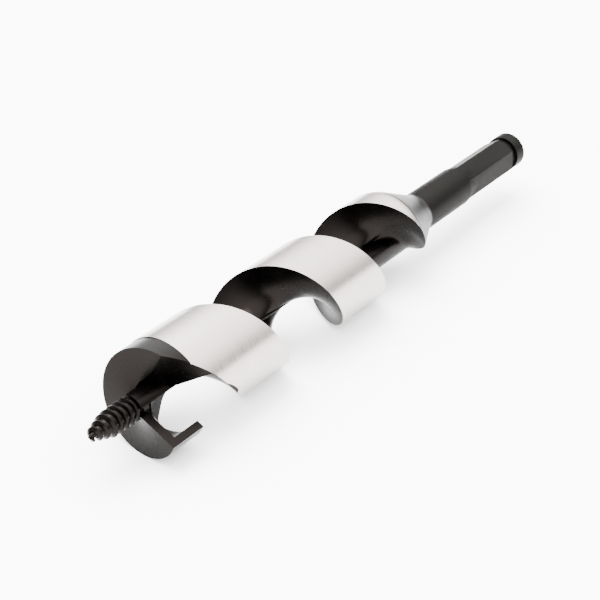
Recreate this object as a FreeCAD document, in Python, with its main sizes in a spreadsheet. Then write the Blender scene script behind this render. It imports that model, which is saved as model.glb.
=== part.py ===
import FreeCAD, Part
import Sketcher
import math
import os

# A ship auger bit lying on its side. The bar is one piece of steel: a screw point, a head
# with one cutting lip and one side lip, a twisted body with a single deep flute, a cone,
# a round shank and a hexagonal shank with a groove near its end.
# The origin is the centre of the shank's end face, +X points out of the shank, the screw
# point is at the negative end, and +Z is up.

doc = FreeCAD.newDocument("ship_auger_bit")
sheet = doc.addObject("Spreadsheet::Sheet", "Sizes")
sheet.Label = "Sizes"

# Millimetres and degrees. Stations are distances from the shank's end face.
SIZES = [
    ("body_radius", 14.7, "ground outside of the twisted body"),
    ("tip_station", 213.0, "tip of the screw point"),
    ("head_station", 183.4, "where the head ends and the ground body begins"),
    ("cone_slope", 25.8, "angle of the cone to the axis"),
    ("shoulder_bend", 8.8, "radius of the bend from the body into the cone"),
    ("neck_bend", 6.0, "radius of the bend from the cone into the shank"),
    ("shank_radius", 6.57, "round shank"),
    ("round_station", 36.8, "where the round shank ends"),
    ("hex_station", 30.0, "where the flats reach their full depth"),
    ("hex_flats", 11.11, "across the flats, for a chuck or a quick-change holder"),
    ("hex_turn", 56.3, "direction of one flat around the axis"),
    ("groove_station", 7.5, "shank side of the locking groove"),
    ("groove_radius", 5.2, "bottom of the locking groove"),
    ("knob_station", 5.0, "end side of the locking groove"),
    ("knob_radius", 6.1, "round end past the groove"),
    ("knob_bevel", 0.5, "bevel of the shank's end"),
    ("flute_pitch", 48.8, "advance of the flute in one turn"),
    ("flute_width", 26.04, "width of the flute along the axis"),
    ("flute_root", 0.6, "distance of the flute's bottom from the axis"),
    ("flute_corner", 5.9, "radius of the cutter's corner"),
    ("flute_length", 86.0, "length cut at full depth"),
    ("cone_gap", 15.1, "from the end of the full depth to the beginning of the cone"),
    ("runout_length", 33.0, "length in which the flute's bottom rises out of the bar"),
    ("lip_turn", 205.0, "direction of the lip around the axis"),
    ("lip_station", 196.6, "front of the cutting lip"),
    ("lip_thickness", 2.8, "thickness of the cutting lip along the axis"),
    ("ramp_pitch", 10.9, "advance of the front face in one turn"),
    ("ramp_turn", 272.0, "how far the front face winds round"),
    ("head_radius", 15.23, "outside of the head"),
    ("head_offset", 0.74, "how far the head stands out to the lip's side"),
    ("head_side", 235.0, "direction in which the head stands out"),
    ("side_lip_inside", 13.5, "inner radius of the side lip"),
    ("side_lip_turn", 80.0, "how far the side lip reaches behind the cutting lip"),
    ("side_lip_station", 184.4, "rear end of the side lip"),
    ("throat_side", 4.1, "where the throat leaves the front face, past the axis"),
    ("throat_front", 190.2, "front of the throat's wall"),
    ("throat_back", 174.9, "back of the throat's wall, near the outside"),
    ("throat_bend", 100.0, "radius of the throat's wall"),
    ("entry_turn", 52.0, "how far ahead of the lip the flute begins, under the throat's wall"),
    ("entry_pitch", 73.0, "advance of the flute's back wall there in one turn"),
    ("boss_radius", 3.9, "root of the screw point"),
    ("boss_turn", 45.0, "how far ahead of the lip the root of the screw is bare"),
    ("boss_station", 181.0, "where the root of the screw meets the body"),
    ("screw_station", 195.8, "thick end of the screw"),
    ("taper_turns", 3.0, "whole turns of thread on the tapered tip"),
    ("crest_radius", 3.85, "thread where the screw begins to narrow"),
    ("tip_radius", 1.7, "thread at the tip"),
    ("tip_point", 0.25, "blunt end of the tip"),
    ("tip_flat", 0.8, "from the tip to the middle of the first thread"),
    ("thread_pitch", 2.1, "advance of the thread in one turn"),
    ("thread_depth", 0.8, "height of the thread"),
]
for row, (alias, value, meaning) in enumerate(SIZES, start=1):
    sheet.set("A%d" % row, meaning)
    sheet.set("B%d" % row, str(value))
    sheet.setAlias("B%d" % row, alias)
doc.recompute()

body = doc.addObject("PartDesign::Body", "auger_bit")
body.Label = "auger_bit"


def origin_feature(role):
    return [f for f in body.Origin.OriginFeatures if f.Role == role][0]


def number(expression):
    """Value of an expression over the sheet, in millimetres or degrees."""
    value = sheet.evalExpression(expression)
    return float(getattr(value, "Value", value))


def sized(expression):
    """An expression with each alias written as a cell of the sheet."""
    names = sorted((s[0] for s in SIZES), key=len, reverse=True)
    out = ""
    i = 0
    while i < len(expression):
        hit = next((n for n in names if expression.startswith(n, i)), None)
        if hit and (i == 0 or not (expression[i - 1].isalnum() or expression[i - 1] in "_.")):
            out += "Sizes." + hit
            i += len(hit)
        else:
            out += expression[i]
            i += 1
    return out


def axial_sketch(name, turn):
    """A sketch in a plane through the axis: its x is along the axis, its y points to `turn`."""
    sketch = body.newObject("Sketcher::SketchObject", name)
    sketch.AttachmentSupport = (origin_feature("XZ_Plane"), [""])
    sketch.MapMode = "FlatFace"
    axis = "create(<<vector>>; 1; 0; 0)"
    spin = "create(<<rotation>>; " + axis + "; " + sized(turn) + " - 90)"
    sketch.setExpression("AttachmentOffset",
                         "create(<<placement>>; create(<<vector>>; 0; 0; 0); " + spin + ")")
    doc.recompute()
    return sketch


def cross_sketch(name, station):
    """A sketch across the axis at a distance from the shank's end: its x is Y, its y is Z."""
    sketch = body.newObject("Sketcher::SketchObject", name)
    sketch.AttachmentSupport = (origin_feature("YZ_Plane"), [""])
    sketch.MapMode = "FlatFace"
    sketch.AttachmentOffset = FreeCAD.Placement(
        FreeCAD.Vector(0, 0, -number(sized(station))), FreeCAD.Rotation())
    sketch.setExpression("AttachmentOffset.Base.z", "-(" + sized(station) + ") * 1 mm")
    return sketch


def fix(sketch, geo, pos, axis, expression):
    """Hold one coordinate of a point at an expression."""
    if expression == "0":
        sketch.addConstraint(Sketcher.Constraint("PointOnObject", geo, pos, -1 if axis == "y" else -2))
        return
    kind = "DistanceX" if axis == "x" else "DistanceY"
    index = sketch.addConstraint(
        Sketcher.Constraint(kind, -1, 1, geo, pos, number(sized(expression))))
    sketch.setExpression("Constraints[%d]" % index, sized(expression))


def outline(sketch, nodes):
    """A closed outline through nodes (x, y, bend): bend is None for a straight run to the
    next node, or the radius of an arc, positive when the arc turns to the left."""
    spots = [FreeCAD.Vector(number(sized(n[0])), number(sized(n[1])), 0) for n in nodes]
    first = sketch.GeometryCount
    up = FreeCAD.Vector(0, 0, 1)
    bends = []
    for i, node in enumerate(nodes):
        a = spots[i]
        b = spots[(i + 1) % len(nodes)]
        if node[2] is None:
            sketch.addGeometry(Part.LineSegment(a, b), False)
            bends.append(0)
            continue
        bend = number(sized(node[2]))
        bends.append(bend)
        chord = b - a
        side = up.cross(chord).normalize()
        rise = math.sqrt(bend ** 2 - (chord.Length / 2) ** 2)
        centre = (a + b) * 0.5 + side * math.copysign(rise, bend)
        ends = (a, b) if bend > 0 else (b, a)
        angles = [math.atan2(p.y - centre.y, p.x - centre.x) for p in ends]
        sketch.addGeometry(Part.ArcOfCircle(Part.Circle(centre, up, abs(bend)), *angles), False)
    for i, node in enumerate(nodes):
        geo = first + i
        after = (i + 1) % len(nodes)
        start, end = (2, 1) if bends[i] < 0 else (1, 2)
        fix(sketch, geo, start, "x", node[0])
        fix(sketch, geo, start, "y", node[1])
        sketch.addConstraint(Sketcher.Constraint(
            "Coincident", geo, end, first + after, 2 if bends[after] < 0 else 1))
        if bends[i]:
            index = sketch.addConstraint(Sketcher.Constraint("Radius", geo, abs(bends[i])))
            sketch.setExpression("Constraints[%d]" % index, "abs(" + sized(node[2]) + ")")


def circle(sketch, x, y, radius):
    geo = sketch.addGeometry(Part.Circle(FreeCAD.Vector(
        number(sized(x)), number(sized(y)), 0), FreeCAD.Vector(0, 0, 1), number(sized(radius))), False)
    fix(sketch, geo, 3, "x", x)
    fix(sketch, geo, 3, "y", y)
    index = sketch.addConstraint(Sketcher.Constraint("Radius", geo, number(sized(radius))))
    sketch.setExpression("Constraints[%d]" % index, sized(radius))


def feature(kind, name, sketch, **settings):
    """A feature of the body, made from a sketch."""
    made = body.newObject("PartDesign::" + kind, name)
    made.Profile = sketch
    for key, value in settings.items():
        if isinstance(value, str):
            made.setExpression(key, sized(value))
        else:
            setattr(made, key, value)
    doc.recompute()
    return made


X_AXIS = (origin_feature("X_Axis"), [""])

# The flute's front wall is the back of the cutting lip, and the body ends a little past the
# place where the flute begins to rise.
flute_start = "(lip_station - lip_thickness - flute_width / 2)"
flute_end = "(" + flute_start + " - flute_length)"
cone_station = "(" + flute_end + " - cone_gap)"

# The bar is turned from the head's back to the shank's end: body, cone, round shank, the
# stock of the hexagon, the locking groove and the round end.
bar = axial_sketch("bar_outline", "90")
drop = "(1 - cos(cone_slope * 1 deg))"
lean = "sin(cone_slope * 1 deg)"
shoulder_end = cone_station + " - shoulder_bend * " + lean
shoulder_height = "body_radius - shoulder_bend * " + drop
neck_height = "shank_radius + neck_bend * " + drop
neck_start = ("(" + shoulder_end + " - (" + shoulder_height + " - (" + neck_height
              + ")) / tan(cone_slope * 1 deg))")
neck_end = neck_start + " - neck_bend * " + lean
hex_corner = "hex_flats / 2 / cos(30 deg)"
outline(bar, [
    ("-head_station", "0", None),
    ("-head_station", "body_radius", None),
    ("-" + cone_station, "body_radius", "-shoulder_bend"),
    ("-(" + shoulder_end + ")", shoulder_height, None),
    ("-" + neck_start, neck_height, "neck_bend"),
    ("-(" + neck_end + ")", "shank_radius", None),
    ("-round_station", "shank_radius", None),
    ("-hex_station", hex_corner, None),
    ("-groove_station", hex_corner, None),
    ("-groove_station", "groove_radius", None),
    ("-knob_station", "groove_radius", None),
    ("-knob_station", "knob_radius", None),
    ("-knob_bevel", "knob_radius", None),
    ("0", "knob_radius - knob_bevel", None),
    ("0", "0", None),
])
feature("Revolution", "bar", bar, ReferenceAxis=X_AXIS, Angle=360.0)

# Six flats are milled on the shank, and a short cone leads from the round shank to them.
flats = cross_sketch("flats_outline", "groove_station")
circle(flats, "0", "0", "shank_radius + 3")
corners = []
for k in range(6):
    angle = "((hex_turn + 30 + %d) * 1 deg)" % (60 * k)
    corners.append(("(" + hex_corner + ") * cos" + angle, "(" + hex_corner + ") * sin" + angle, None))
outline(flats, corners)
feature("Pocket", "flats", flats, Length="(round_station - groove_station) * 1 mm")
lead = axial_sketch("lead_outline", "90")
outline(lead, [
    ("-round_station - 1", "0", None),
    ("-round_station - 1", "shank_radius", None),
    ("-round_station", "shank_radius", None),
    ("-hex_station", "hex_flats / 2", None),
    ("-hex_station", "0", None),
])
feature("Revolution", "lead", lead, ReferenceAxis=X_AXIS, Angle=360.0)

# The head is a short disc, ground off centre so that the lip cuts a hole that clears the body.
head = cross_sketch("head_outline", "head_station")
off_y = "head_offset * cos(head_side * 1 deg)"
off_z = "head_offset * sin(head_side * 1 deg)"
circle(head, off_y, off_z, "head_radius")
feature("Pad", "head", head, Reversed=True, Length="(lip_station - head_station) * 1 mm")

# The front face of the head is a ramp that winds back from the cutting lip.
ramp = axial_sketch("ramp_outline", "lip_turn")
outline(ramp, [
    ("-lip_station", "flute_root * 2", None),
    ("-lip_station", "head_radius + 3", None),
    ("-tip_station", "head_radius + 3", None),
    ("-tip_station", "flute_root * 2", None),
])
feature("SubtractiveHelix", "ramp", ramp, ReferenceAxis=X_AXIS, Mode=0,
        Pitch="ramp_pitch * 1 mm", Height="ramp_pitch * ramp_turn / 360 * 1 mm")

# One deep flute is milled along a right-hand helix, with a square-nosed cutter whose corners
# are rounded, and rises out of the bar where the cone begins.


def flute_sketch(name, turn, middle):
    sketch = axial_sketch(name, turn)
    near = "-(" + middle + ") - flute_width / 2"
    far = "-(" + middle + ") + flute_width / 2"
    outline(sketch, [
        (near, "body_radius + 4", None),
        (near, "flute_root + flute_corner", "flute_corner"),
        (near + " + flute_corner", "flute_root", None),
        (far + " - flute_corner", "flute_root", "flute_corner"),
        (far, "flute_root + flute_corner", None),
        (far, "body_radius + 4", None),
    ])
    return sketch


flute = flute_sketch("flute_outline", "lip_turn", flute_start)
feature("SubtractiveHelix", "flute", flute, ReferenceAxis=X_AXIS, Mode=0,
        Pitch="flute_pitch * 1 mm", Height="flute_length * 1 mm")
runout = flute_sketch("runout_outline", "lip_turn + flute_length / flute_pitch * 360", flute_end)
feature("SubtractiveHelix", "runout", runout, ReferenceAxis=X_AXIS, Mode=0,
        Pitch="flute_pitch * 1 mm", Angle="atan(body_radius / runout_length)",
        Height="runout_length * 1 mm")

# The flute begins ahead of the cutting lip, under the wall of the throat, where its back
# wall is steeper.
entry = axial_sketch("entry_outline", "lip_turn")
flute_back = "-" + flute_start + " + flute_width / 2"
outline(entry, [
    ("-head_station", "body_radius + 4", None),
    ("-head_station", "flute_root * 1.3", None),
    (flute_back + " - flute_corner", "flute_root * 1.3", "flute_corner"),
    (flute_back, "flute_root * 1.3 + flute_corner", None),
    (flute_back, "body_radius + 4", None),
])
feature("SubtractiveHelix", "entry", entry, ReferenceAxis=X_AXIS, Mode=0, Reversed=True,
        Pitch="entry_pitch * 1 mm", Height="entry_pitch * entry_turn / 360 * 1 mm")

# Behind the cutting lip the flute follows the front face's own pitch, so that the lip keeps
# its thickness there.
relief = axial_sketch("relief_outline", "lip_turn - boss_turn")
lip_back = "-lip_station + lip_thickness + 0.4 - ramp_pitch * boss_turn / 360"
outline(relief, [
    (lip_back, "side_lip_inside", None),
    (lip_back, "flute_root * 1.6 + flute_corner", "flute_corner"),
    (lip_back + " + flute_corner", "flute_root * 1.6", None),
    ("-head_station", "flute_root * 1.6", None),
    ("-head_station", "side_lip_inside", None),
])
feature("SubtractiveHelix", "relief", relief, ReferenceAxis=X_AXIS, Mode=0,
        Pitch="ramp_pitch * 1 mm",
        Height="ramp_pitch * (side_lip_turn + boss_turn) / 360 * 1 mm")

# The throat opens the flute to the front. Its floor is the plane of the lip, so the lip's
# rake face is flat.
throat = axial_sketch("throat_outline", "lip_turn")
outline(throat, [
    ("-tip_station", "-throat_side", None),
    ("-throat_front", "-throat_side", "-throat_bend"),
    ("-throat_back", "body_radius * 0.83", None),
    ("-throat_back + 6.4", "body_radius * 0.997", None),
    ("-throat_back + 6.4", "body_radius * 1.4", None),
    ("-tip_station", "body_radius * 1.4", None),
])
feature("Pocket", "throat", throat, Length="body_radius * 2 * 1 mm")

# The side lip is the skin of the head, left standing behind the outer end of the cutting lip.
side = cross_sketch("side_lip_outline", "side_lip_station")


def rim(turn):
    """Distance from the axis to the head's outside in one direction."""
    away = "((" + turn + " - head_side) * 1 deg)"
    return ("(head_offset * cos" + away + " + sqrt(head_radius ^ 2 - (head_offset * sin"
            + away + ") ^ 2))")


side_end = "(lip_turn + side_lip_turn)"
outline(side, [
    (rim("lip_turn") + " * cos(lip_turn * 1 deg)", rim("lip_turn") + " * sin(lip_turn * 1 deg)",
     "head_radius"),
    (rim(side_end) + " * cos(" + side_end + " * 1 deg)",
     rim(side_end) + " * sin(" + side_end + " * 1 deg)", None),
    ("side_lip_inside * cos(" + side_end + " * 1 deg)",
     "side_lip_inside * sin(" + side_end + " * 1 deg)", "-side_lip_inside"),
    ("side_lip_inside * cos(lip_turn * 1 deg)", "side_lip_inside * sin(lip_turn * 1 deg)", None),
])
feature("Pad", "side_lip", side, Reversed=True,
        Length="(lip_station - lip_thickness - side_lip_station + 0.4) * 1 mm")

# The screw point grows out of a cylindrical root in the cutting lip. Behind the lip only the
# throat's side of that root is left, because the flute reaches the axis.
root = axial_sketch("root_outline", "lip_turn + 180")
outline(root, [
    ("-lip_station", "0", None),
    ("-lip_station", "boss_radius", None),
    ("-boss_station", "boss_radius", None),
    ("-boss_station", "0", None),
])
feature("Revolution", "screw_root", root, ReferenceAxis=X_AXIS, Angle="(180 - boss_turn) * 1 deg")
tip_length = "(taper_turns * thread_pitch)"
taper_station = "(tip_station - tip_flat - " + tip_length + ")"
core = axial_sketch("screw_outline", "lip_turn + 90")
outline(core, [
    ("-tip_station", "0", None),
    ("-tip_station", "tip_point", None),
    ("-" + taper_station, "crest_radius - thread_depth", None),
    ("-screw_station", "boss_radius - thread_depth", None),
    ("-screw_station", "boss_radius", None),
    ("-lip_station + lip_thickness", "boss_radius", None),
    ("-lip_station + lip_thickness", "0", None),
])
feature("Revolution", "screw_core", core, ReferenceAxis=X_AXIS, Angle=360.0)

# Its thread pulls the bit into the wood. It is rolled at one pitch over the whole point,
# tapered from the tip and then nearly straight along the thick part.
for name, turn, start, crest, length, slope in (
        ("thread_tip", "lip_turn", "tip_station - tip_flat", "tip_radius",
         tip_length, "atan((crest_radius - tip_radius) / " + tip_length + ")"),
        ("thread", "lip_turn", taper_station, "crest_radius",
         "(" + taper_station + " - screw_station)",
         "atan((boss_radius - crest_radius) / (" + taper_station + " - screw_station))")):
    tooth = axial_sketch(name + "_outline", turn)
    outline(tooth, [
        ("-(" + start + ") - thread_pitch * 0.36", crest + " - thread_depth * 1.3", None),
        ("-(" + start + ") + thread_pitch * 0.36", crest + " - thread_depth * 1.3", None),
        ("-(" + start + ") + thread_pitch * 0.08", crest, None),
        ("-(" + start + ") - thread_pitch * 0.08", crest, None),
    ])
    feature("AdditiveHelix", name, tooth, ReferenceAxis=X_AXIS, Mode=0,
            Pitch="thread_pitch * 1 mm", Height=length + " * 1 mm", Angle=slope)

for thing in doc.Objects:
    if "Invalid" in thing.State or "Error" in thing.State:
        raise RuntimeError("failed: " + thing.Name)
shape = body.Shape
if shape.isNull() or not shape.isValid() or len(shape.Solids) != 1:
    raise RuntimeError("the body isn't one valid solid")
bit = shape.Solids[0]
print("volume", round(bit.Volume), "faces", len(bit.Faces), "centre", bit.CenterOfMass)
os.makedirs("parts", exist_ok=True)
bit.exportStep("parts/auger_bit.step")
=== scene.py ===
# %% [markdown]
# A ship auger bit, lying on a white table. It is one piece of steel with several finishes.
# The flute and the head are black from heat treatment, the outside of the twisted body is
# ground bright, the cone is a dull grey and the shank is a satin black. The frame holds the
# solid that was packed, and every length below is in metres.

# %% Load the frame and note its box
import math

import bmesh
import bpy
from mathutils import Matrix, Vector


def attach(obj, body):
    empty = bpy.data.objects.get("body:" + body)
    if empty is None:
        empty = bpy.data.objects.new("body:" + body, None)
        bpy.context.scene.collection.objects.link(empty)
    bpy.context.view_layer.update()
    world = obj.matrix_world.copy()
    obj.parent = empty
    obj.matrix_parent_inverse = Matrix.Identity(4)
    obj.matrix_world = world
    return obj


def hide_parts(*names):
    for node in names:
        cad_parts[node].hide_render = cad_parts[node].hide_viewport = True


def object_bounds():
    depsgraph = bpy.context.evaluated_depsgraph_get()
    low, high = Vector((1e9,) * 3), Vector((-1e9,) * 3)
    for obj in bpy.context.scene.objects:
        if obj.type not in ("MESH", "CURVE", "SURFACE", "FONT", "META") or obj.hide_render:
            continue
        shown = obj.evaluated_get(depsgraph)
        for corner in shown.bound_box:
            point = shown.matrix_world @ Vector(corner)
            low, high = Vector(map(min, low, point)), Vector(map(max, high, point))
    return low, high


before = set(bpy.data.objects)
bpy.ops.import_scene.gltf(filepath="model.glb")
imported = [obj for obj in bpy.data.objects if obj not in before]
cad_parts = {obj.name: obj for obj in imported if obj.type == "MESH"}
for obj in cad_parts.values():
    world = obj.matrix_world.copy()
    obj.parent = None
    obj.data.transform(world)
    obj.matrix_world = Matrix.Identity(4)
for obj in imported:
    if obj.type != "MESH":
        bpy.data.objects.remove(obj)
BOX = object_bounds()
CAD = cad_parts["auger_bit"]
print("solid's box in mm", [[round(c * 1000, 2) for c in corner] for corner in BOX])

# %% [markdown]
# The camera stands where the photographer's did: in front of the screw point, above it and to
# one side, looking slantwise down the bit with a long lens. The place was worked out from the
# helix of the body and the straight edges of the shank.

# %% Set up the camera
EYE = Vector((-0.4378, -0.2373, 0.2378))
AHEAD = Vector((0.6825, 0.5135, -0.5201)).normalized()
SCREW_TIP = Vector((-0.213, 0.0, 0.0))

camera_data = bpy.data.cameras.new("camera")
camera_data.sensor_width = 36.0
camera_data.lens = 93.0
camera_data.clip_start = 0.01
camera = bpy.data.objects.new("camera", camera_data)
camera.location = EYE
camera.rotation_mode = "QUATERNION"
camera.rotation_quaternion = AHEAD.to_track_quat("-Z", "Y")
bpy.context.scene.collection.objects.link(camera)
bpy.context.scene.camera = camera
print("camera to the screw point in mm", round((EYE - SCREW_TIP).length * 1000))

# %% [markdown]
# Materials are node trees. One helper adds a node with its settings and its links, and one
# function turns a hex colour, as a paint chart gives it, into the linear numbers that the
# renderer wants.

# %% Helpers for materials


def linear(hex_colour):
    """A hex colour as linear light."""
    parts = [int(hex_colour[i:i + 2], 16) / 255 for i in (0, 2, 4)]
    light = [p / 12.92 if p <= 0.04045 else ((p + 0.055) / 1.055) ** 2.4 for p in parts]
    return (*light, 1.0)


def node(tree, kind, links=None, values=None, **settings):
    """A new node in a tree. `links` maps an input to an output, `values` an input to a number."""
    made = tree.nodes.new(kind)
    for key, value in settings.items():
        setattr(made, key, value)
    for key, value in (values or {}).items():
        made.inputs[key].default_value = value
    for key, socket in (links or {}).items():
        tree.links.new(socket, made.inputs[key])
    return made


def new_material(name):
    """An empty material with its shader, and its tree."""
    material = bpy.data.materials.new(name)
    material.use_nodes = True
    tree = material.node_tree
    tree.nodes.clear()
    shader = node(tree, "ShaderNodeBsdfPrincipled")
    output = node(tree, "ShaderNodeOutputMaterial")
    tree.links.new(shader.outputs["BSDF"], output.inputs["Surface"])
    return material, tree, shader


# %% [markdown]
# The five steels are built alike. A metal takes its colour from the base colour and its gloss
# from the roughness. A fine noise moves the roughness between two values, and the colour too
# where a finish has two of them, so that no face looks computed. The noise is counted in
# blotches for each metre along X, Y and Z, so it can be stretched round the axis.

# %% One function for the steels


def steel(name, colours, roughness, blotches, detail, edge_tint=None):
    """A metal with so many blotches in a metre. `edge_tint` dims what is seen at a low angle."""
    material, tree, shader = new_material(name)
    place = node(tree, "ShaderNodeTexCoord")
    counted = node(tree, "ShaderNodeMapping", {"Vector": place.outputs["Object"]},
                   {"Scale": blotches})
    noise = node(tree, "ShaderNodeTexNoise", {"Vector": counted.outputs["Vector"]},
                 {"Scale": 1.0, "Detail": detail})
    shader.inputs["Metallic"].default_value = 1.0
    if edge_tint:
        shader.inputs["Specular Tint"].default_value = linear(edge_tint)
    if len(colours) == 1:
        shader.inputs["Base Color"].default_value = linear(colours[0])
    else:
        tone = node(tree, "ShaderNodeMix", {"Factor": noise.outputs["Fac"]}, data_type="RGBA")
        tone.inputs[6].default_value = linear(colours[0])
        tone.inputs[7].default_value = linear(colours[1])
        tree.links.new(tone.outputs[2], shader.inputs["Base Color"])
    rough = node(tree, "ShaderNodeMapRange", {"Value": noise.outputs["Fac"]},
                 {"To Min": roughness[0], "To Max": roughness[1]})
    tree.links.new(rough.outputs["Result"], shader.inputs["Roughness"])
    print("made", material.name)
    return material


# %% [markdown]
# The outside of the body is ground on a cylindrical grinder. The wheel leaves fine rings
# round the axis, so the gloss is stretched along the axis, and a lamp shows as a long streak.
# Real grinding marks are a few hundredths of a millimetre apart. They are drawn about 0.17 mm
# apart and 8 mm long, because finer ones wouldn't show.

# %% Ground steel
ground = steel("ground_carbon_steel", ("978F8B", "ABA39F"), (0.22, 0.34),
               blotches=(6000.0, 120.0, 120.0), detail=3.0)

# %% [markdown]
# The flute and the head keep the black skin of heat treatment under a film of oil. It is
# smooth and glossy, with soft unevenness from the forging, in patches of about 4 mm.

# %% Blackened steel
black = steel("blackened_forged_steel", ("12100F",), (0.2, 0.34),
              blotches=(260.0, 260.0, 260.0), detail=4.0, edge_tint="D6D6D6")

# %% [markdown]
# The shank is turned and blackened, and handling leaves it satin, in patches of 2 to 3 mm.

# %% Satin steel of the shank
satin = steel("satin_black_shank_steel", ("151413",), (0.38, 0.5),
              blotches=(400.0, 400.0, 400.0), detail=4.0, edge_tint="C8C8C8")

# %% [markdown]
# The outside of the head is turned before the heat treatment, and the black on it is thin and
# worn, so it looks grey and satin. Its turning marks are drawn about 0.33 mm apart and 6 mm
# long, coarser than real ones, so that they show.

# %% Worn black of the head's outside
worn = steel("worn_black_head_steel", ("0F0E0D", "151413"), (0.3, 0.42),
             blotches=(3000.0, 160.0, 160.0), detail=5.0)

# %% [markdown]
# The forging's cone and neck are turned. They have a grey, half-bright skin, lighter than the
# shank and duller than the ground body, in patches of about 3 mm.

# %% Turned steel of the cone
turned = steel("turned_grey_steel", ("1D1B1A",), (0.34, 0.46),
               blotches=(300.0, 300.0, 300.0), detail=4.0)

# %% [markdown]
# The twisted body follows a rule, so Geometry Nodes can make it. Across the bar the section is
# always the same: an arc of the ground outside, and the round-cornered slot of the flute down
# to the middle. It turns steadily along the axis. Where the flute runs out, its bottom rises
# steadily too, and the lathe's outline of the cone limits how far out the metal reaches.

# %% Sizes of the twisted body
BODY_RADIUS = 0.0147
PITCH = 0.0488
SPIN = 2 * math.pi / PITCH
FLUTE_WIDTH = 0.02604
HALF_FLUTE = FLUTE_WIDTH / 2
FLUTE_ROOT = 0.0006
FLUTE_CORNER = 0.0059
FLUTE_LENGTH = 0.0860
RUNOUT_LENGTH = 0.0330
LIP_TURN = math.radians(205.0)
LIP_STATION = -0.1966
LIP_THICKNESS = 0.0028
CONE_GAP = 0.0151
CONE_SLOPE = math.radians(25.8)
SHOULDER_BEND = 0.0088
NECK_BEND = 0.006
SHANK_RADIUS = 0.00657
BODY_FRONT = -0.1660
BODY_BACK = -0.0560

FLUTE_START = LIP_STATION + LIP_THICKNESS + HALF_FLUTE
RISE_START = FLUTE_START + FLUTE_LENGTH
RISE_SLOPE = BODY_RADIUS / RUNOUT_LENGTH
CONE_START = RISE_START + CONE_GAP
print("the flute turns", round(math.degrees(SPIN / 1000), 2), "degrees in each mm")

# %% [markdown]
# A loop of points holds the section. Each point knows its reach from the axis and its turn
# from the middle of the flute, and the tree works the rest out from these two. The points
# crowd towards the corners of the slot, where the section bends most.

# %% The section as a loop of points
SLOT_STEPS = 40
WALL_STEPS = 10
LAND_STEPS = 84


def flute_reach(offset):
    """Distance from the axis to the flute's bottom, at an offset from its middle."""
    past = abs(offset) - (HALF_FLUTE - FLUTE_CORNER)
    if past <= 0:
        return FLUTE_ROOT
    return FLUTE_ROOT + FLUTE_CORNER - math.sqrt(max(FLUTE_CORNER ** 2 - past ** 2, 0.0))


edge_turn = HALF_FLUTE * SPIN
land_turn = 2 * math.pi - 2 * edge_turn
wall = [FLUTE_ROOT + FLUTE_CORNER + (BODY_RADIUS - FLUTE_ROOT - FLUTE_CORNER) * i / WALL_STEPS
        for i in range(1, WALL_STEPS + 1)]
section = []
for i in range(-SLOT_STEPS, SLOT_STEPS + 1):
    offset = HALF_FLUTE * math.sin(i / SLOT_STEPS * math.pi / 2)
    section.append((flute_reach(offset), offset * SPIN))
section += [(reach, edge_turn) for reach in wall]
section += [(BODY_RADIUS, edge_turn + land_turn * i / LAND_STEPS) for i in range(1, LAND_STEPS)]
section += [(reach, 2 * math.pi - edge_turn) for reach in reversed(wall)]

loop = bpy.data.meshes.new("flute_section")
loop.from_pydata([(r * math.cos(t), r * math.sin(t), 0.0) for r, t in section],
                 [(i, (i + 1) % len(section)) for i in range(len(section))], [])
reaches = [r for r, t in section]
turns = [t if t <= math.pi else t - 2 * math.pi for r, t in section]
for name, numbers in (("reach", reaches), ("turn", turns)):
    loop.attributes.new(name, "FLOAT", "POINT").data.foreach_set("value", numbers)
section_object = bpy.data.objects.new("flute_section", loop)
print("points in the section", len(section))

# %% [markdown]
# The cone's outline, between the body and the shank, is a bend, a straight slope and a second
# bend. It goes into the tree as a curve from 0 to 1, as far along the cone and as far out.

# %% The cone's outline
SHOULDER_END = CONE_START + SHOULDER_BEND * math.sin(CONE_SLOPE)
SHOULDER_REACH = BODY_RADIUS - SHOULDER_BEND * (1 - math.cos(CONE_SLOPE))
NECK_REACH = SHANK_RADIUS + NECK_BEND * (1 - math.cos(CONE_SLOPE))
NECK_START = SHOULDER_END + (SHOULDER_REACH - NECK_REACH) / math.tan(CONE_SLOPE)
NECK_END = NECK_START + NECK_BEND * math.sin(CONE_SLOPE)
OUTLINE_STEPS = 30


def bar_reach(x):
    """Radius of the turned bar at a place along it."""
    if x <= CONE_START:
        return BODY_RADIUS
    if x <= SHOULDER_END:
        return BODY_RADIUS - SHOULDER_BEND + math.sqrt(SHOULDER_BEND ** 2 - (x - CONE_START) ** 2)
    if x <= NECK_START:
        return SHOULDER_REACH - (x - SHOULDER_END) * math.tan(CONE_SLOPE)
    if x <= NECK_END:
        return SHANK_RADIUS + NECK_BEND - math.sqrt(NECK_BEND ** 2 - (NECK_END - x) ** 2)
    return SHANK_RADIUS


print("the cone ends at", round(NECK_END * 1000, 2), "mm")

# %% [markdown]
# A tree is run by a modifier. Its inputs are set by the identifiers of their sockets, and its
# result is taken as a plain mesh, which the frame can read.

# %% Helpers for trees of geometry


def modifier_input(modifier, name, value):
    """Set a modifier's input by the identifier of its socket."""
    for item in modifier.node_group.interface.items_tree:
        if item.item_type == "SOCKET" and item.in_out == "INPUT" and item.name == name:
            modifier[item.identifier] = value


def finished(piece, name):
    """A plain mesh object from what a piece's modifiers give."""
    view = bpy.context.evaluated_depsgraph_get()
    result = bpy.data.meshes.new_from_object(piece.evaluated_get(view))
    result.name = name
    piece.modifiers.clear()
    bpy.data.objects.remove(piece)
    made = bpy.data.objects.new(name, result)
    bpy.context.scene.collection.objects.link(made)
    return made


# %% [markdown]
# The tree sweeps the loop along the axis first, and then puts each point where the twist has
# turned it. The turn at a place is the flute's turn there plus the point's own.

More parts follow.
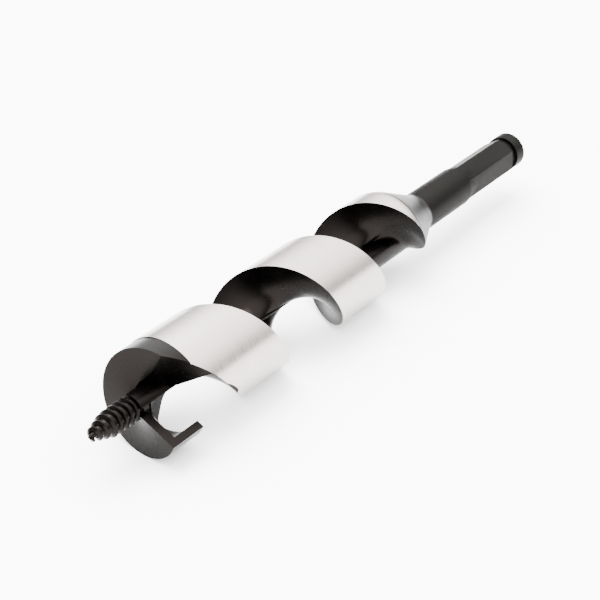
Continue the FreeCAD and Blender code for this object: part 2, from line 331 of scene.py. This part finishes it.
# %% The tree of the twisted body
tree = bpy.data.node_groups.new("twisted_body", "GeometryNodeTree")
for name, kind in (("Section", "NodeSocketObject"), ("Front", "NodeSocketFloat"),
                   ("Back", "NodeSocketFloat"), ("Steps", "NodeSocketInt"),
                   ("Start", "NodeSocketFloat"), ("Start Turn", "NodeSocketFloat"),
                   ("Spin", "NodeSocketFloat"), ("Rise Start", "NodeSocketFloat"),
                   ("Rise Slope", "NodeSocketFloat")):
    tree.interface.new_socket(name, in_out="INPUT", socket_type=kind)
tree.interface.new_socket("Geometry", in_out="OUTPUT", socket_type="NodeSocketGeometry")
given = node(tree, "NodeGroupInput")
front = node(tree, "ShaderNodeCombineXYZ", {"X": given.outputs["Front"]})
back = node(tree, "ShaderNodeCombineXYZ", {"X": given.outputs["Back"]})
line = node(tree, "GeometryNodeCurvePrimitiveLine",
            {"Start": front.outputs[0], "End": back.outputs[0]})
path = node(tree, "GeometryNodeResampleCurve",
            {"Curve": line.outputs["Curve"], "Count": given.outputs["Steps"]})
drawn = node(tree, "GeometryNodeObjectInfo", {"Object": given.outputs["Section"]})
profile = node(tree, "GeometryNodeMeshToCurve", {"Mesh": drawn.outputs["Geometry"]})
swept = node(tree, "GeometryNodeCurveToMesh",
             {"Curve": path.outputs["Curve"], "Profile Curve": profile.outputs["Curve"]})

reach = node(tree, "GeometryNodeInputNamedAttribute", values={"Name": "reach"})
turn = node(tree, "GeometryNodeInputNamedAttribute", values={"Name": "turn"})
spot = node(tree, "GeometryNodeInputPosition")
along = node(tree, "ShaderNodeSeparateXYZ", {"Vector": spot.outputs[0]})
gone = node(tree, "ShaderNodeMath", {0: along.outputs["X"], 1: given.outputs["Start"]},
            operation="SUBTRACT")
middle = node(tree, "ShaderNodeMath", {0: gone.outputs[0], 1: given.outputs["Spin"],
                                       2: given.outputs["Start Turn"]}, operation="MULTIPLY_ADD")
around = node(tree, "ShaderNodeMath", {0: middle.outputs[0], 1: turn.outputs["Attribute"]},
              operation="ADD")
print("nodes so far", len(tree.nodes))

# %% [markdown]
# A point of the flute was cut when the cutter stood at the point's own direction, so the rise
# goes by the cutter's place along the bar and not by the point's. The lower of the risen
# flute and the bar's outline is where the metal ends.

# %% Rise of the flute and limit of the bar
behind = node(tree, "ShaderNodeMath", {0: turn.outputs["Attribute"], 1: given.outputs["Spin"]},
              operation="DIVIDE")
cutter = node(tree, "ShaderNodeMath", {0: along.outputs["X"], 1: behind.outputs[0]},
              operation="ADD")
past = node(tree, "ShaderNodeMath", {0: cutter.outputs[0], 1: given.outputs["Rise Start"]},
            operation="SUBTRACT")
rising = node(tree, "ShaderNodeMath", {0: past.outputs[0]}, {1: 0.0}, operation="MAXIMUM")
risen = node(tree, "ShaderNodeMath", {0: rising.outputs[0], 1: given.outputs["Rise Slope"],
                                      2: reach.outputs["Attribute"]}, operation="MULTIPLY_ADD")
part_way = node(tree, "ShaderNodeMapRange", {"Value": along.outputs["X"]},
                {"From Min": CONE_START, "From Max": NECK_END})
outline = node(tree, "ShaderNodeFloatCurve", {"Value": part_way.outputs["Result"]})
points = outline.mapping.curves[0].points
points[0].location = (0.0, 1.0)
points[1].location = (1.0, SHANK_RADIUS / BODY_RADIUS)
for i in range(1, OUTLINE_STEPS):
    x = CONE_START + (NECK_END - CONE_START) * i / OUTLINE_STEPS
    points.new(i / OUTLINE_STEPS, bar_reach(x) / BODY_RADIUS)
outline.mapping.update()
limit = node(tree, "ShaderNodeMath", {0: outline.outputs["Value"]}, {1: BODY_RADIUS},
             operation="MULTIPLY")
out = node(tree, "ShaderNodeMath", {0: risen.outputs[0], 1: limit.outputs[0]},
           operation="MINIMUM")
cosine = node(tree, "ShaderNodeMath", {0: around.outputs[0]}, operation="COSINE")
sine = node(tree, "ShaderNodeMath", {0: around.outputs[0]}, operation="SINE")
out_y = node(tree, "ShaderNodeMath", {0: out.outputs[0], 1: cosine.outputs[0]},
             operation="MULTIPLY")
out_z = node(tree, "ShaderNodeMath", {0: out.outputs[0], 1: sine.outputs[0]},
             operation="MULTIPLY")
there = node(tree, "ShaderNodeCombineXYZ", {"X": along.outputs["X"], "Y": out_y.outputs[0],
                                            "Z": out_z.outputs[0]})
shaped = node(tree, "GeometryNodeSetPosition",
              {"Geometry": swept.outputs["Mesh"], "Position": there.outputs[0]})
print("nodes so far", len(tree.nodes))

# %% [markdown]
# The finish goes by the place too: what still reaches the bar's outline is ground, turned or
# satin, from the body to the shank, and what the cutter took away is black. The nodes of the
# position and of the bar's limit serve again, because they are worked out anew on the shaped
# mesh.

# %% Finish of each face
SKIN = 0.00004
GREY_FROM = CONE_START + 0.0022
SATIN_FROM = NECK_END - 0.0008

across = node(tree, "ShaderNodeCombineXYZ", {"Y": along.outputs["Y"], "Z": along.outputs["Z"]})
distance = node(tree, "ShaderNodeVectorMath", {0: across.outputs[0]}, operation="LENGTH")
just_inside = node(tree, "ShaderNodeMath", {0: limit.outputs[0]}, {1: SKIN},
                   operation="SUBTRACT")
outside = node(tree, "ShaderNodeMath", {0: distance.outputs["Value"], 1: just_inside.outputs[0]},
               operation="GREATER_THAN")
past_body = node(tree, "ShaderNodeMath", {0: along.outputs["X"]}, {1: GREY_FROM},
                 operation="GREATER_THAN")
on_cone = node(tree, "ShaderNodeMath", {0: outside.outputs[0], 1: past_body.outputs[0]},
               operation="MULTIPLY")
on_shank = node(tree, "ShaderNodeMath", {0: along.outputs["X"]}, {1: SATIN_FROM},
                operation="GREATER_THAN")
coated = node(tree, "GeometryNodeSetMaterial", {"Geometry": shaped.outputs["Geometry"]},
              {"Material": black})
for place, finish in ((outside, ground), (on_cone, turned), (on_shank, satin)):
    coated = node(tree, "GeometryNodeSetMaterial",
                  {"Geometry": coated.outputs["Geometry"], "Selection": place.outputs[0]},
                  {"Material": finish})
real = node(tree, "GeometryNodeRealizeInstances", {"Geometry": coated.outputs["Geometry"]})
node(tree, "NodeGroupOutput", {"Geometry": real.outputs["Geometry"]})
print("nodes in the tree", len(tree.nodes))

# %% [markdown]
# The modifier sits on an empty mesh and gets its sizes by name. The plain mesh that comes out
# has its doubles merged, its faces turned outwards and its sharp edges kept.

# %% Make the twisted body
SWEEP_STEPS = 330
SHARP = math.radians(25.0)


def soften(work):
    """Shade every face smooth and keep the sharp edges."""
    for face in work.faces:
        face.smooth = True
    for edge in work.edges:
        edge.smooth = not (len(edge.link_faces) == 2 and edge.calc_face_angle() > SHARP)


def settle(piece):
    """Merge doubles, turn faces outward and soften. Gives the number of faces."""
    work = bmesh.new()
    work.from_mesh(piece.data)
    bmesh.ops.remove_doubles(work, verts=work.verts, dist=2e-6)
    bmesh.ops.dissolve_degenerate(work, edges=work.edges, dist=2e-6)
    bmesh.ops.recalc_face_normals(work, faces=work.faces)
    soften(work)
    work.to_mesh(piece.data)
    work.free()
    return len(piece.data.polygons)


holder = bpy.data.objects.new("twisted_body_holder", bpy.data.meshes.new("holder"))
bpy.context.scene.collection.objects.link(holder)
modifier = holder.modifiers.new("twist", "NODES")
modifier.node_group = tree
for name, value in (("Section", section_object), ("Front", BODY_FRONT), ("Back", BODY_BACK),
                    ("Steps", SWEEP_STEPS), ("Start", FLUTE_START), ("Start Turn", LIP_TURN),
                    ("Spin", SPIN), ("Rise Start", RISE_START), ("Rise Slope", RISE_SLOPE)):
    modifier_input(modifier, name, value)
body = finished(holder, "twisted_body")
print("faces of the body", settle(body), "materials", [m.name for m in body.data.materials])

# %% [markdown]
# The head and the shank are copies of the solid, cut where the twisted body meets them. The
# cut ends stay open, because they lie inside the steel. Each face gets the finish of its place.

# %% Head and shank from the solid
FINISHES = (ground, black, satin, worn)
HEAD_BACK = -0.1834
GROUND_SKIN = 0.0001
WORN_REACH = 0.0142
WORN_FACING = 0.85


def from_solid(name, low, high, finish):
    """A copy of the solid between two places along the axis, with a finish for each face."""
    mesh = CAD.data.copy()
    mesh.name = name
    piece = bpy.data.objects.new(name, mesh)
    bpy.context.scene.collection.objects.link(piece)
    work = bmesh.new()
    work.from_mesh(mesh)
    bmesh.ops.remove_doubles(work, verts=work.verts, dist=1e-6)
    for place, side in ((low, -1.0), (high, 1.0)):
        bmesh.ops.bisect_plane(work, geom=work.verts[:] + work.edges[:] + work.faces[:],
                               plane_co=(place, 0, 0), plane_no=(side, 0, 0), clear_outer=True)
    mesh.materials.clear()
    for material in FINISHES:
        mesh.materials.append(material)
    for face in work.faces:
        face.material_index = FINISHES.index(finish(face))
    soften(work)
    work.to_mesh(mesh)
    work.free()
    return piece


def head_finish(face):
    """Ground behind the head, worn on the head's outside, and black in the flute."""
    centre = face.calc_center_median()
    distance = math.hypot(centre.y, centre.z)
    if centre.x > HEAD_BACK:
        return ground if distance > BODY_RADIUS - GROUND_SKIN else black
    facing = (face.normal.y * centre.y + face.normal.z * centre.z) / max(distance, 1e-6)
    return worn if distance > WORN_REACH and facing > WORN_FACING else black


head = from_solid("head_and_screw", -1.0, BODY_FRONT, head_finish)
shank = from_solid("hex_shank_piece", BODY_BACK, 1.0, lambda face: satin)
print("faces of the head", len(head.data.polygons), "and shank", len(shank.data.polygons))

# %% [markdown]
# In the photograph no more than a thin dark line shows below the front edge of the land under
# the throat, where the solid's straight wall would show as a hook. That side faces the table,
# so how the real edge is ground there is a guess: the wall leans back behind the edge. The
# solid doesn't have this form. Points near the edge move back along the axis, less and less
# across the land, and the head and the body move alike, so they still meet.

# %% Undercut of the land's front
UNDERCUT = 0.0034
UNDERCUT_REACH = 0.009
AHEAD_OF_EDGE = 0.0015
UNDERCUT_BEGINS = (198, 242)
UNDERCUT_ENDS = (280, 335)
CORE = (0.002, 0.006)


def fade(value, low, high):
    """From 0 to 1 between two values, with soft ends."""
    t = min(max((value - low) / (high - low), 0.0), 1.0)
    return t * t * (3 - 2 * t)


def undercut(piece):
    """Lean the land's front wall back. Gives the number of points that moved."""
    moved = 0
    for vertex in piece.data.vertices:
        x, y, z = vertex.co
        degrees = math.degrees(math.atan2(z, y)) % 360
        front_edge = FLUTE_START + HALF_FLUTE + (math.radians(degrees) - LIP_TURN) / SPIN
        behind_edge = x - front_edge
        if not -AHEAD_OF_EDGE < behind_edge < UNDERCUT_REACH:
            continue
        weight = (fade(degrees, *UNDERCUT_BEGINS) * (1 - fade(degrees, *UNDERCUT_ENDS))
                  * (1 - fade(behind_edge, 0.0, UNDERCUT_REACH))
                  * fade(math.hypot(y, z), *CORE))
        vertex.co.x += UNDERCUT * weight
        moved += weight > 0
    return moved


print("points moved", undercut(body), undercut(head))

# %% [markdown]
# All three pieces belong to the one rigid body, and together they stand for the solid.

# %% Tie the pieces to the frame
for piece in (body, head, shank):
    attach(piece, "root")
    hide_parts("auger_bit")
print("pieces", [p.name for p in (body, head, shank)])

# %% [markdown]
# The table is plain white, and the light is one large soft box above with a white room round
# it, as in a light tent. The room glows more towards its ceiling, which gives the round bar a
# bright back and darker sides.

# %% Table and light
TABLE_HALF = 6
LOW = BOX[0].z
table_mesh = bpy.data.meshes.new("table")
table_mesh.from_pydata([(x * TABLE_HALF, y * TABLE_HALF, LOW)
                        for x, y in ((-1, -1), (1, -1), (1, 1), (-1, 1))], [], [(0, 1, 2, 3)])
table = bpy.data.objects.new("table", table_mesh)
bpy.context.scene.collection.objects.link(table)
paper, tree, shader = new_material("white_table")
shader.inputs["Base Color"].default_value = linear("FAFAFA")
shader.inputs["Roughness"].default_value = 0.8
table_mesh.materials.append(paper)

world = bpy.data.worlds.new("white_room")
bpy.context.scene.world = world
world.use_nodes = True
sky = world.node_tree
backdrop = sky.nodes["Background"]
backdrop.inputs["Color"].default_value = (1.0, 1.0, 1.0, 1.0)
way = node(sky, "ShaderNodeTexCoord")
height = node(sky, "ShaderNodeSeparateXYZ", {"Vector": way.outputs["Generated"]})
glow = node(sky, "ShaderNodeMapRange", {"Value": height.outputs["Z"]},
            {"From Min": -0.05, "From Max": 0.85, "To Min": 0.15, "To Max": 10.0},
            interpolation_type="SMOOTHSTEP")
sky.links.new(glow.outputs["Result"], backdrop.inputs["Strength"])


def soft_box(name, place, aim, size, power):
    """A rectangular lamp that faces a point."""
    data = bpy.data.lights.new(name, "AREA")
    data.shape = "RECTANGLE"
    data.size, data.size_y = size
    data.energy = power
    lamp = bpy.data.objects.new(name, data)
    lamp.location = place
    lamp.rotation_mode = "QUATERNION"
    lamp.rotation_quaternion = (Vector(aim) - Vector(place)).to_track_quat("-Z", "Y")
    bpy.context.scene.collection.objects.link(lamp)


MIDDLE_OF_BIT = (-0.11, 0.0, 0.0)
soft_box("overhead", (-0.1, 0.25, 0.9), MIDDLE_OF_BIT, (0.9, 0.7), 40.0)
